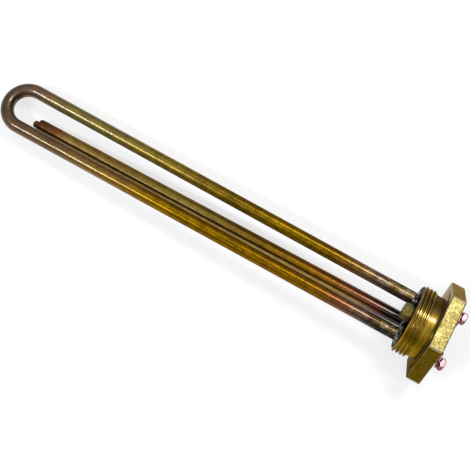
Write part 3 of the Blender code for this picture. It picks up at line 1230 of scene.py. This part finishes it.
# Painted reflection: a pale band on the flank that faces the element's leg.
reflection_side = add_node(
    tree,
    "ShaderNodeMapRange",
    {"Value": split.outputs["Y"], "From Min": 3.1 * mm, "From Max": 3.5 * mm},
)
painted_reflection_part = add_node(
    tree,
    "ShaderNodeMapRange",
    {"Value": band, "From Min": 0.05, "From Max": 0.16, "To Max": 0.66},
)
painted_reflection_part = add_node(
    tree,
    "ShaderNodeMath",
    {0: reflection_side.outputs[0], 1: painted_reflection_part.outputs[0]},
    operation="MULTIPLY",
)
painted_reflection = add_node(
    tree,
    "ShaderNodeMix",
    {"Factor": painted_reflection_part.outputs[0], 6: between_tubes_shaded.outputs[2], 7: colour("#b89a58")},
    data_type="RGBA",
)
_, mottled = boiled_mottle(tree, place, painted_reflection.outputs[2])
tree.links.new(mottled, shader.inputs["Base Color"])

tube_bore = tube_radius - tube_wall
blind_end_x = neck_x - 1.2 * mm
dome_length = 1.6 * mm
shoulder_length = 1.6 * mm
round_start_x = pocket_tip_x - 1.7 * mm
centre_gap = 0.02 * mm
profile = [(blind_end_x, centre_gap)]
for step in range(1, 9):
    angle = math.pi / 2 * step / 8
    dome_x = blind_end_x - dome_length * (1 - math.cos(angle))
    profile.append((dome_x, tube_bore * math.sin(angle)))
profile += [
    (-0.55 * mm, tube_bore),
    (-0.6 * mm, tube_bore + 0.1 * mm),
    (-0.6 * mm, pocket_radius - 0.1 * mm),
    (-0.5 * mm, pocket_radius),
]
for step in range(13):
    angle = math.pi / 2 * step / 12
    shoulder_x = neck_x - shoulder_length * (1 - math.sin(angle))
    profile.append((shoulder_x, neck_radius + (pocket_radius - neck_radius) * math.cos(angle)))
profile += [
    (neck_x + 0.35 * mm, neck_radius + 0.02 * mm),
    (neck_x + 0.8 * mm, neck_radius + 0.15 * mm),
]
for step in range(10):
    angle = math.pi / 2 * step / 10
    nipple_x = round_start_x + (pocket_tip_x - round_start_x) * math.sin(angle)
    profile.append((nipple_x, nipple_radius * math.cos(angle)))
profile.append((pocket_tip_x, centre_gap))
pocket = skinned(
    "pocket_tube", turned_rings(profile, pocket_centre, sides=64), [fired_copper]
)
smooth(pocket)
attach(pocket, "root")
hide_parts("thermostat_pocket")


# Anode nut: a small brass hexagon soldered on the inner face, opposite the pocket, to take the
# stud of the anode rod that protects the tank. It is cut from bar and left dull.
anode_nut_offset = 9.6 * mm
anode_nut_height = 5.3 * mm
anode_nut_bore = 2.1 * mm

# Bar brass: sawn and left to dull, darker than the turned brass, and darker still towards +Y.
tree, shader, bar_brass = new_material("bar_brass", 1.0, 0.38)
place = add_node(tree, "ShaderNodeTexCoord").outputs["Object"]
split = add_node(tree, "ShaderNodeSeparateXYZ", {0: place})
tones = [(0.34, "#4c4119"), (0.52, "#625529"), (0.68, "#72653c")]
marks, bar = patchy(tree, place, 1.8 * mm, tones, detail=4.0, roughness=0.7)
darkened_plus_y_edge = (11.3 * mm, 11.9 * mm)
_, darkened_plus_y = stained(tree, bar, colour("#241807"), split.outputs["Y"], darkened_plus_y_edge, (0.0, 0.8))
tree.links.new(darkened_plus_y, shader.inputs["Base Color"])
dinted = add_node(
    tree, "ShaderNodeBump", {"Height": marks, "Strength": 0.2, "Distance": 0.15 * mm}
)
tree.links.new(dinted.outputs["Normal"], shader.inputs["Normal"])


def nut_rings(centre, low_x, height, width, bore, turn, face_share, slope):
    """Rings for a hexagon nut along X: a countersunk bore, and corners turned off at the ends."""
    sides = 96
    high_x = low_x + height
    flat = width / 2
    face = flat * face_share
    sink = 0.25 * mm
    burr = 0.06 * mm
    lip = 0.02 * mm
    rings = [[] for _ in range(10)]
    for step in range(sides):
        angle = 2 * math.pi * step / sides
        distance = flat / math.cos(angle % math.radians(60) - math.radians(30))
        fall = (distance - face) * math.tan(math.radians(slope))
        section = [
            (low_x + sink, bore),
            (high_x - sink, bore),
            (high_x, bore + sink),
            (high_x, face - burr),
            (high_x - lip, face),
            (high_x - fall, distance),
            (low_x + fall, distance),
            (low_x + lip, face),
            (low_x, face - burr),
            (low_x, bore + sink),
        ]
        for ring, (x, radius) in zip(rings, section):
            y = centre[0] + radius * math.cos(angle + turn)
            z = centre[1] + radius * math.sin(angle + turn)
            ring.append((x, y, z))
    return rings


anode_nut = skinned(
    "anode_nut_bar",
    nut_rings(
        (0.0, anode_nut_offset),
        low_x=inner_face_x + 0.02 * mm,
        height=anode_nut_height + 0.28 * mm,
        width=8.8 * mm,
        bore=anode_nut_bore,
        turn=math.radians(-7),
        face_share=0.985,
        slope=30,
    ),
    [bar_brass],
    loop=True,
)
nut_smoothing = 20
smooth(anode_nut, angle=nut_smoothing)
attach(anode_nut, "root")
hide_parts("anode_nut")


# Braze: silver solder run in round each tube with a torch. It sets in a lumpy hollow fillet that
# climbs the tube, bright where it flowed clean and blue grey where flux and smoke settled.

# Silver braze: grey white where it is clean, almost black under the smoke, and never quite smooth.
tree, shader, silver_braze = new_material("silver_braze", 1.0, 0.33)
place = add_node(tree, "ShaderNodeTexCoord").outputs["Object"]
tones = [(0.36, "#181b19"), (0.47, "#3c3c39"), (0.56, "#7a716a"), (0.66, "#bdb2ae")]
smoke, solder = patchy(tree, place, 2.0 * mm, tones, detail=4.0, roughness=0.7)
tree.links.new(solder, shader.inputs["Base Color"])
lumps = add_node(tree, "ShaderNodeBump", {"Height": smoke, "Strength": 0.35, "Distance": 0.3 * mm})
tree.links.new(lumps.outputs["Normal"], shader.inputs["Normal"])

# One fillet is turned from a short hollow profile and set on each tube's centre, then every fillet
# is pushed in and out by its own place in a noise, so that no two are alike.
fillet_foot_x = -0.15 * mm
fillet_inside = tube_radius - 0.1 * mm
fillet_climb = 1.95 * mm
fillet_spread = 1.68 * mm
fillet_profile = [(fillet_foot_x, tube_radius + 1.9 * mm)]
for step in range(13):
    angle = math.pi / 2 * step / 12
    fillet_x = 0.22 * mm + fillet_climb * (1 - math.cos(angle))
    fillet_profile.append(
        (fillet_x, tube_radius + 0.12 * mm + fillet_spread * (1 - math.sin(angle)))
    )
fillet_profile += [(2.3 * mm, fillet_inside), (fillet_foot_x, fillet_inside)]
fillet = skinned(
    "braze_fillet",
    turned_rings(fillet_profile, (0.0, 0.0), sides=96),
    [silver_braze],
    loop=True,
)
smooth(fillet)

tree, sizes = new_tree(
    "braze_round_tubes", face=0, spacing=0, pocket_y=0, pocket_z=0, unevenness=0
)
half_spacing = add_node(
    tree, "ShaderNodeMath", {0: sizes.outputs["Spacing"], 1: 0.5}, operation="MULTIPLY"
)
other_side = add_node(
    tree, "ShaderNodeMath", {0: half_spacing.outputs[0], 1: -1.0}, operation="MULTIPLY"
)
joint_places = [
    {"X": sizes.outputs["Face"], "Y": half_spacing.outputs[0]},
    {"X": sizes.outputs["Face"], "Y": other_side.outputs[0]},
    {"X": sizes.outputs["Face"], "Y": sizes.outputs["Pocket Y"], "Z": sizes.outputs["Pocket Z"]},
]
all_joints = add_node(tree, "GeometryNodeJoinGeometry")
for joint_place in joint_places:
    spot = add_node(tree, "ShaderNodeCombineXYZ", joint_place)
    dot = add_node(tree, "GeometryNodePoints", {"Count": 1, "Position": spot.outputs[0]})
    tree.links.new(dot.outputs[0], all_joints.inputs[0])
placed = add_node(
    tree,
    "GeometryNodeInstanceOnPoints",
    {"Points": all_joints.outputs[0], "Instance": sizes.outputs["Geometry"]},
)
real = add_node(tree, "GeometryNodeRealizeInstances", {"Geometry": placed.outputs[0]})
ripple = add_node(tree, "ShaderNodeTexNoise", {"Scale": 1 / (3.5 * mm), "Detail": 1.5})
pushed = add_node(
    tree,
    "ShaderNodeMapRange",
    {
        "Value": ripple.outputs["Fac"],
        "From Min": 0.3,
        "From Max": 0.7,
        "To Min": -1.0,
        "To Max": 1.0,
    },
)
pushed = add_node(
    tree,
    "ShaderNodeMath",
    {0: pushed.outputs[0], 1: sizes.outputs["Unevenness"]},
    operation="MULTIPLY",
)
facing = add_node(tree, "GeometryNodeInputNormal")
push = add_node(
    tree,
    "ShaderNodeVectorMath",
    {0: facing.outputs[0], "Scale": pushed.outputs[0]},
    operation="SCALE",
)
uneven = add_node(
    tree, "GeometryNodeSetPosition", {"Geometry": real.outputs[0], "Offset": push.outputs[0]}
)
finished = add_node(
    tree, "GeometryNodeSetMaterial", {"Geometry": uneven.outputs[0], "Material": silver_braze}
)
add_node(tree, "NodeGroupOutput", {"Geometry": finished.outputs[0]})
braze = grown(
    "braze_fillets",
    fillet,
    tree,
    face=inner_face_x,
    spacing=leg_spacing,
    pocket_y=pocket_centre[0],
    pocket_z=pocket_centre[1],
    unevenness=0.22 * mm,
)
smooth(braze, angle=60)
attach(braze, "root")
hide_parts("braze_leg_a", "braze_leg_b", "braze_pocket")


# Terminals: a ceramic collar on each end of the sheath, then a copper tab soldered to the pin and
# running outwards to a hexagon nut, where the cable's screw goes in from behind.
terminal_spacing = 30.0 * mm
tab_half_width = 3.5 * mm
collar_bore = 1.6 * mm
screw_bore = 1.65 * mm

# Pickled copper: dipped bright in acid, which leaves it pink and pale with a fine etched grain.
tree, shader, pickled_copper = new_material(
    "pickled_copper", 1.0, 0.26, coat_weight=1.0, coat_roughness=0.22
)
place = add_node(tree, "ShaderNodeTexCoord").outputs["Object"]
tones = [(0.34, "#73383c"), (0.52, "#834c4f"), (0.68, "#926164")]
etch, pink = patchy(tree, place, 1.6 * mm, tones, roughness=0.6)
tree.links.new(pink, shader.inputs["Base Color"])
etched = add_node(tree, "ShaderNodeBump", {"Height": etch, "Strength": 0.05, "Distance": 0.1 * mm})
tree.links.new(etched.outputs["Normal"], shader.inputs["Normal"])

# Steatite: a hard white ceramic, pressed and fired, with a faint cream mottle.
steatite = grained(
    "steatite",
    metallic=0.0,
    roughness=0.42,
    grain=1.4 * mm,
    tones=[(0.35, "#dcd4c2"), (0.65, "#efe9dc")],
)

for suffix, side in (("a", 1), ("b", -1)):
    pin_y = side * leg_spacing / 2
    nut_y = side * terminal_spacing / 2
    collar_profile = [
        (-1.15 * mm, collar_bore),
        (-1.15 * mm, tube_radius - 0.25 * mm),
        (-1.35 * mm, tube_radius),
        (-2.9 * mm, tube_radius),
        (-3.2 * mm, tube_radius - 0.12 * mm),
        (-3.3 * mm, tube_radius - 0.4 * mm),
        (-3.3 * mm, collar_bore),
    ]
    collar = skinned(
        f"terminal_collar_{suffix}",
        turned_rings(collar_profile, (pin_y, 0.0), sides=64),
        [steatite],
        loop=True,
    )
    smooth(collar)
    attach(collar, "root")
    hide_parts(f"terminal_bead_{suffix}")

    outline = []
    for end_y, first_angle in ((nut_y, -math.pi / 2), (pin_y, math.pi / 2)):
        for step in range(25):
            angle = first_angle + math.pi * step / 24
            y = end_y + side * tab_half_width * math.cos(angle)
            outline.append((y, tab_half_width * math.sin(angle)))
    centre_y = (nut_y + pin_y) / 2
    broken_edge = 0.985
    sections = ((-3.6, broken_edge), (-3.7, 1.0), (-4.3, 1.0), (-4.4, broken_edge))
    rings = [
        [(x * mm, centre_y + (y - centre_y) * share, z * share) for y, z in outline]
        for x, share in sections
    ]
    link = skinned(f"terminal_link_{suffix}", rings, [pickled_copper])
    drilled(link, [(nut_y, 0.0)], screw_bore, low_x=-6 * mm, high_x=-2 * mm)
    smooth(link)
    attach(link, "root")
    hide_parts(f"terminal_tab_{suffix}")

    nut = skinned(
        f"terminal_hexagon_{suffix}",
        nut_rings(
            (nut_y, 0.0),
            low_x=-7.9 * mm,
            height=3.48 * mm,
            width=7.0 * mm,
            bore=screw_bore,
            turn=0.0,
            face_share=0.87,
            slope=47,
        ),
        [pickled_copper],
        loop=True,
    )
    smooth(nut, angle=nut_smoothing)
    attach(nut, "root")
    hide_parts(f"terminal_nut_{suffix}")


# Floor: a plain pale board under the heater, which rests on the hexagon's lower edge and the
# pocket's tip, so the board is tipped by three degrees in the heater's own frame.
hexagon_rest = Vector((hexagon_thickness, 0.0, -across_flats / 2))
pocket_rest = Vector((272.0 * mm, 0.0, -(pocket_offset + tube_radius)))
rise = pocket_rest - hexagon_rest
floor_slope = math.atan2(rise.z, rise.x)
bm = bmesh.new()
bmesh.ops.create_circle(bm, cap_ends=True, segments=96, radius=6.0)
floor_mesh = bpy.data.meshes.new("floor_board")
tip = Matrix.Translation(hexagon_rest) @ Matrix.Rotation(-floor_slope, 4, "Y")
bmesh.ops.transform(bm, matrix=tip, verts=bm.verts)
bm.to_mesh(floor_mesh)
bm.free()
floor_board = bpy.data.objects.new("floor_board", floor_mesh)
bpy.context.scene.collection.objects.link(floor_board)

# Matt white board. The camera and the metal's reflections see it as white, with the heater's soft
# shadow still on it. Its faint fibres are drawn ten times as coarse as real ones.
tree, shader, white_board = new_material("white_board", 0.0, 0.95)
place = add_node(tree, "ShaderNodeTexCoord")
board_fibre = 10 / 3 * mm
tones = [(0.3, "#aeaeae"), (0.7, "#b2b2b2")]
_, board_tone = patchy(tree, place.outputs["Object"], board_fibre, tones, detail=2.0)
tree.links.new(board_tone, shader.inputs["Base Color"])
ray = add_node(tree, "ShaderNodeLightPath")
seen = add_node(
    tree,
    "ShaderNodeMath",
    {0: ray.outputs["Is Camera Ray"], 1: ray.outputs["Is Glossy Ray"]},
    operation="MAXIMUM",
)
seen = add_node(
    tree,
    "ShaderNodeMath",
    {0: seen.outputs[0], 1: ray.outputs["Is Transmission Ray"]},
    operation="MAXIMUM",
)
board_glow = 0.63
lift = add_node(
    tree, "ShaderNodeMath", {0: seen.outputs[0], 1: board_glow}, operation="MULTIPLY"
)
glow = add_node(tree, "ShaderNodeEmission", {"Color": (1, 1, 1, 1), "Strength": lift.outputs[0]})
both = add_node(tree, "ShaderNodeAddShader", {0: shader.outputs[0], 1: glow.outputs[0]})
tree.links.new(both.outputs[0], tree.nodes["Material Output"].inputs["Surface"])
floor_mesh.materials.append(white_board)


# Light: a pale studio room, darker towards its walls and behind the hexagon, with a row of lamps
# over each end of the heater. Their reflections are the two thin lines that run along the tubes.
scene = bpy.context.scene
world = bpy.data.worlds.new("studio_room")
world.use_nodes = True
scene.world = world
tree = world.node_tree
room = tree.nodes["Background"]
place = add_node(tree, "ShaderNodeTexCoord")
split = add_node(tree, "ShaderNodeSeparateXYZ", {0: place.outputs["Generated"]})
height = add_node(
    tree,
    "ShaderNodeMapRange",
    {
        "Value": split.outputs["Z"],
        "From Min": 0.1,
        "From Max": 0.95,
        "To Min": 0.38,
        "To Max": 0.72,
    },
)
dark_end = add_node(
    tree,
    "ShaderNodeMapRange",
    {
        "Value": split.outputs["X"],
        "From Min": -0.8,
        "From Max": -0.25,
        "To Min": 0.25,
        "To Max": 1.0,
    },
)
level = add_node(
    tree, "ShaderNodeMath", {0: height.outputs[0], 1: dark_end.outputs[0]}, operation="MULTIPLY"
)
tree.links.new(level.outputs[0], room.inputs["Strength"])
room.inputs["Color"].default_value = (1.0, 1.0, 1.0, 1.0)

scene.view_settings.view_transform = "Standard"


def add_lamp(name, place, length, width, radiance, tint):
    """A rectangular lamp of a set brightness, its long side along X, that faces the heater."""
    lamp = bpy.data.lights.new(name, "AREA")
    lamp.shape = "RECTANGLE"
    lamp.size = length
    lamp.size_y = width
    lamp.energy = radiance * math.pi * length * width
    lamp.color = tint
    away = (Vector(place) - Vector((place[0], 0.0, 0.0))).normalized()
    along_x = Vector((1.0, 0.0, 0.0))
    item = bpy.data.objects.new(name, lamp)
    pose = Matrix((along_x, away.cross(along_x), away)).transposed().to_4x4()
    item.matrix_world = Matrix.Translation(place) @ pose
    scene.collection.objects.link(item)


white = (1.0, 1.0, 1.0)
sky_blue = (0.94, 1.04, 1.22)
for low_x, high_x, width, radiance in (
    (-0.24, -0.03, 0.26, 20.0),
    (-0.03, 0.08, 0.14, 15.0),
    (0.08, 0.26, 0.12, 3.2),
):
    place = ((low_x + high_x) / 2, -0.36, 1.20)
    add_lamp("lamp_over_plug", place, high_x - low_x, width, radiance, white)
for low_x, high_x, radiance in ((0.40, 0.52, 16.0), (0.52, 0.86, 60.0)):
    place = ((low_x + high_x) / 2, 0.69, 1.15)
    add_lamp("lamp_over_bend", place, high_x - low_x, 0.09, radiance, sky_blue)


# Camera: where the photograph was taken from, worked out from the heater's own sizes.
lens = bpy.data.cameras.new("camera")
lens.sensor_width = 36.0
lens.lens = 77.66
camera = bpy.data.objects.new("camera", lens)
right = Vector((-0.879064, -0.473108, 0.058793))
up = Vector((0.470941, -0.842538, 0.261490))
back = Vector((-0.074178, 0.257555, 0.963413))
pose = Matrix((right, up, back)).transposed().to_4x4()
camera.matrix_world = Matrix.Translation((0.08873, 0.15707, 0.56802)) @ pose
scene.collection.objects.link(camera)
scene.camera = camera
